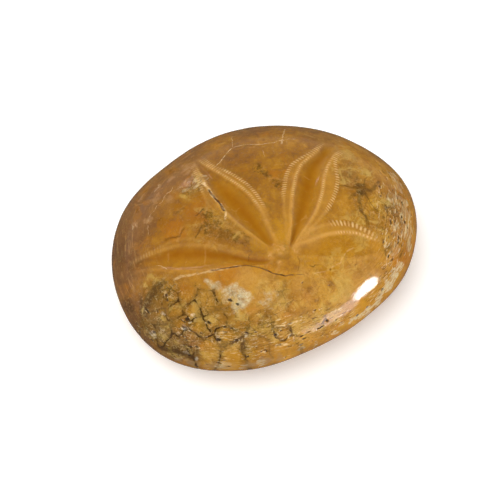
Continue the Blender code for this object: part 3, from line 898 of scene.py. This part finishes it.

# Petals: amber floors with painted shade, darkest along the middle, and rows of pores on soft pale ridges.
colour = stained(colour, "#aa7416", field["petal_floor_and_painted_shade"], (mottle["mottled"], 0.3, 0.7, 0.6, 0.85))
colour = stained(colour, "#955804", field["petal_painted_shade_band"], (mottle["mottled"], 0.3, 0.7, 0.85, 0.65))
rows = field["pore_rows"]
uneven = masked((mottle["rows_shown"], 0.35, 0.6, 0.35, 1.0))
past_inner = field["off_inner"]
past_outer = field["off_outer"]
near_inner = node("Math", (past_inner,), operation="ABSOLUTE")
near_outer = node("Math", (past_outer,), operation="ABSOLUTE")
colour = stained(colour, "#bd8a3c", (past_inner, -0.5, 0.3), (past_outer, 0.7, -0.2), rows, 0.4)
colour = stained(colour, "#d0a052", (near_inner, 0.8, 0.1), rows, (uneven, 0.3, 1.0, 0.45, 0.75))
colour = stained(colour, "#cfa055", (near_outer, 0.7, 0.1), rows, uneven, 0.35)
turns = node("Math", (field["pore_run"], math.tau), operation="MULTIPLY")
wave = node("Math", (turns,), operation="SINE")
crest = (wave, -0.4, 0.6)
hollow = (wave, 0.3, -0.7)
ribs = field["ribs"]
beads = masked((near_inner, 0.42, 0.15), field["pores"])
colour = stained(colour, "#dfba7e", ribs, crest, uneven, 0.7)
colour = stained(colour, "#7f5420", ribs, hollow, 0.32)
colour = stained(colour, "#dfba7e", beads, crest, uneven, 0.6)
colour = stained(colour, "#8f6426", beads, hollow, 0.22)

# The apex plate, more golden than the stone round it, and its lumps, pale partly with painted highlights.
colour = stained(colour, "#b57f24", field["apex_plate"], (mottle["plate_shown"], 0.4, 0.65, 0.0, 0.5))
colour = stained(colour, "#cf9f58", field["apex_lumps"], (mottle["speckled"], 0.4, 0.6, 0.2, 0.8))

# Plates: browner towards their edges, and parted by seams that are dark where the polish bit in. Elsewhere
# the seams are pale and faint.
seam_gap = field["seam_gap"]
seam_shown = field["seam_shown"]
seam = masked((unsettled(seam_gap, mottle["speckled"], 0.4), 0.24, 0.1))
plate_edge = masked((seam_gap, 1.3, 0.2), seam_shown)
plate_face = node("Math", (seam_shown, plate_edge), operation="SUBTRACT")
colour = stained(colour, "#7a5a22", plate_edge, 0.35)
colour = stained(colour, "#c8922a", plate_face, (field["shade"], 0.1, 0.45), field["plate_shade"], 0.45)
colour = stained(colour, "#3f2a0e", seam, seam_shown, (mottle["dark_seams_shown"], 0.4, 0.55, 0.15, 0.95))
colour = stained(colour, "#cf9f5c", seam, (mottle["pale_seams_shown"], 0.5, 0.65), 0.18)


def vein(name, edge):
    """How much of a vein shows: all at its middle, and none past its edge, which the mottling breaks up."""
    across = node("Math", (field[name + "_place"],), operation="ABSOLUTE")
    return masked((unsettled(across, mottle["ragged"], 1.6), edge, 0.4), field[name + "_strength"])


# Veins, the dark gaps of the cracks, and the pits with their pale edges, which are partly painted highlight.
colour = stained(colour, "#4a3216", vein("dark", 1.8), (mottle["ragged"], 0.3, 0.55, 0.35, 1.0))
colour = stained(colour, "#dfbf8a", vein("pale", 1.4), (mottle["pale_veins_shown"], 0.4, 0.55, 0.25, 1.0))
off_crack = node("Math", (field["crack_place"],), operation="ABSOLUTE")
gap = masked((off_crack, 1.8, 0.8), field["crack_strength"])
colour = stained(colour, "#4e2a0a", gap, (field["gaping"], 0.2, 0.8, 0.7, 0.95))
pit_place = field["pit_place"]
pit = masked((unsettled(pit_place, mottle["grainy"], 0.8), 1.15, 0.6))
# The pits' pale edges: partly the stone's own colour, partly painted highlight.
colour = stained(
    colour, "#dcc597", (pit_place, 1.0, 1.25), (pit_place, 1.9, 1.5), (mottle["speckled"], 0.5, 0.65), 0.6)
colour = stained(colour, "#38240e", pit, (mottle["dark_pits_shown"], 0.4, 0.6, 0.45, 0.95))
calcite.node_tree.links.new(colour, shader.inputs["Base Color"])

# The gloss is broken in gaps and pits, dulled where the margin is frosted, and a little uneven everywhere.
broken = node("Math", (masked(gap, 0.8), pit), operation="MAXIMUM")
frosted = masked((field["frost"], 0.2, 0.8), 0.25)
rough = node("Math", (masked((broken, 0.1, 0.7, 0.1, 0.5)), frosted), operation="ADD")
rough = unsettled(rough, mottle["gloss"], 0.1)
calcite.node_tree.links.new(rough, shader.inputs["Roughness"])
shader.inputs["IOR"].default_value = 1.55
shader.inputs["Subsurface Weight"].default_value = 0.35
shader.inputs["Subsurface Radius"].default_value = (1.0, 0.55, 0.2)
shader.inputs["Subsurface Scale"].default_value = 1.5 * MM

# Finest relief: polishing marks, the beads between the pores of the inner rows, and the frosting.
height = masked(mottle["tooth"], 0.012 * MM)
for relief, rise in ((masked(beads, crest), 0.05), (masked(frosted, mottle["frosting"]), 0.3)):
    height = node("Math", (relief, rise * MM, height), operation="MULTIPLY_ADD")
bump = node("Bump", {"Height": height, "Strength": 1.0, "Distance": 1.0})
calcite.node_tree.links.new(bump, shader.inputs["Normal"])
mesh.materials.append(calcite)

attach(stone, "root")
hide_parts("fossil_urchin")


# The floor: a wide sheet of opal acrylic, matt on top.
# It is lit faintly from below, so that shadows on it stay pale.
bpy.ops.mesh.primitive_plane_add(size=3.0, location=(0, 0, 0))
floor = bpy.context.object
floor.name = "floor"
acrylic = bpy.data.materials.new("backlit_opal_acrylic")
acrylic.use_nodes = True
acrylic_shader = acrylic.node_tree.nodes["Principled BSDF"]
acrylic_shader.inputs["Base Color"].default_value = linear("#fafaf8")
acrylic_shader.inputs["Roughness"].default_value = 0.9
acrylic_shader.inputs["Emission Color"].default_value = linear("#fffaf6")
acrylic_shader.inputs["Emission Strength"].default_value = 0.25
floor.data.materials.append(acrylic)
floor.visible_glossy = False  # kept out of the polish, which would turn milky


# The light: a large diffuser overhead and a softer fill, both kept out of the polish, and what the polish
# mirrors: a window low on the right, its pale curtain, and a window at the back. The room is dark above and
# paler at the horizon.
ROOM_TONES = ((0.0, "#6a6058"), (0.06, "#a8a4a8"), (0.6, "#2e2c2c"))  # from the horizon up
world = bpy.data.worlds.new("studio")
bpy.context.scene.world = world
world.use_nodes = True
sky = world.node_tree.nodes["Background"]
around_room = node("TexCoord", output="Generated", tree=world.node_tree)
up = node("SeparateXYZ", (around_room,), output="Z", tree=world.node_tree)
room = node("ValToRGB", (up,), tree=world.node_tree)
tones = room.node.color_ramp.elements
for at, (stop, hex_colour) in enumerate(ROOM_TONES):
    element = tones[at] if at < 2 else tones.new(stop)
    element.position = stop
    element.color = linear(hex_colour)
world.node_tree.links.new(room, sky.inputs["Color"])
sky.inputs["Strength"].default_value = 1.0


def softbox(name, bearing, elevation, distance, size, power, hex_colour, roll=0.0, mirrored=True):
    """A flat oval light that faces the stone: bearings count from front to right, sizes are in metres."""
    turn = math.radians(bearing)
    lift = math.radians(elevation)
    aim = Vector((math.sin(turn) * math.cos(lift), -math.cos(turn) * math.cos(lift), math.sin(lift)))
    data = bpy.data.lights.new(name, "AREA")
    data.shape = "ELLIPSE"
    data.size, data.size_y = size
    data.energy = power
    data.color = linear(hex_colour)[:3]
    light = bpy.data.objects.new(name, data)
    light.location = aim * distance
    light.rotation_euler = aim.to_track_quat("Z", "Y").to_euler()
    light.rotation_euler.rotate_axis("Z", math.radians(roll))
    light.visible_glossy = mirrored
    bpy.context.scene.collection.objects.link(light)


softbox("diffuser", -110, 74, 0.9, (1.3, 1.3), 12.8, "#fffefd", mirrored=False)
softbox("fill", 25, 42, 0.9, (0.5, 0.5), 1.2, "#fffefd", mirrored=False)
softbox("window", 43, 7, 0.6, (0.11, 0.2), 1.3, "#ffffff", roll=-8)
softbox("curtain", 28, -1, 0.6, (0.26, 0.22), 0.58, "#f8e6ec", roll=20)
softbox("back_window", 182, 32, 0.8, (0.05, 0.32), 0.1, "#ffe2ea", roll=27)


# The camera looks down on the stone from the front left.
CAMERA_BEARING = math.radians(-21)
CAMERA_ELEVATION = math.radians(62)
CAMERA_DISTANCE = 450.0
CAMERA_TARGET = Vector((-4.29, -1.55, 12.0))
back = Vector((
    math.sin(CAMERA_BEARING) * math.cos(CAMERA_ELEVATION),
    -math.cos(CAMERA_BEARING) * math.cos(CAMERA_ELEVATION),
    math.sin(CAMERA_ELEVATION),
))
camera_data = bpy.data.cameras.new("camera")
camera_data.lens = 135
camera = bpy.data.objects.new("camera", camera_data)
camera.location = (CAMERA_TARGET + back * CAMERA_DISTANCE) * MM
camera.rotation_euler = back.to_track_quat("Z", "Y").to_euler()
bpy.context.scene.collection.objects.link(camera)
bpy.context.scene.camera = camera
bpy.context.scene.view_settings.view_transform = "Standard"
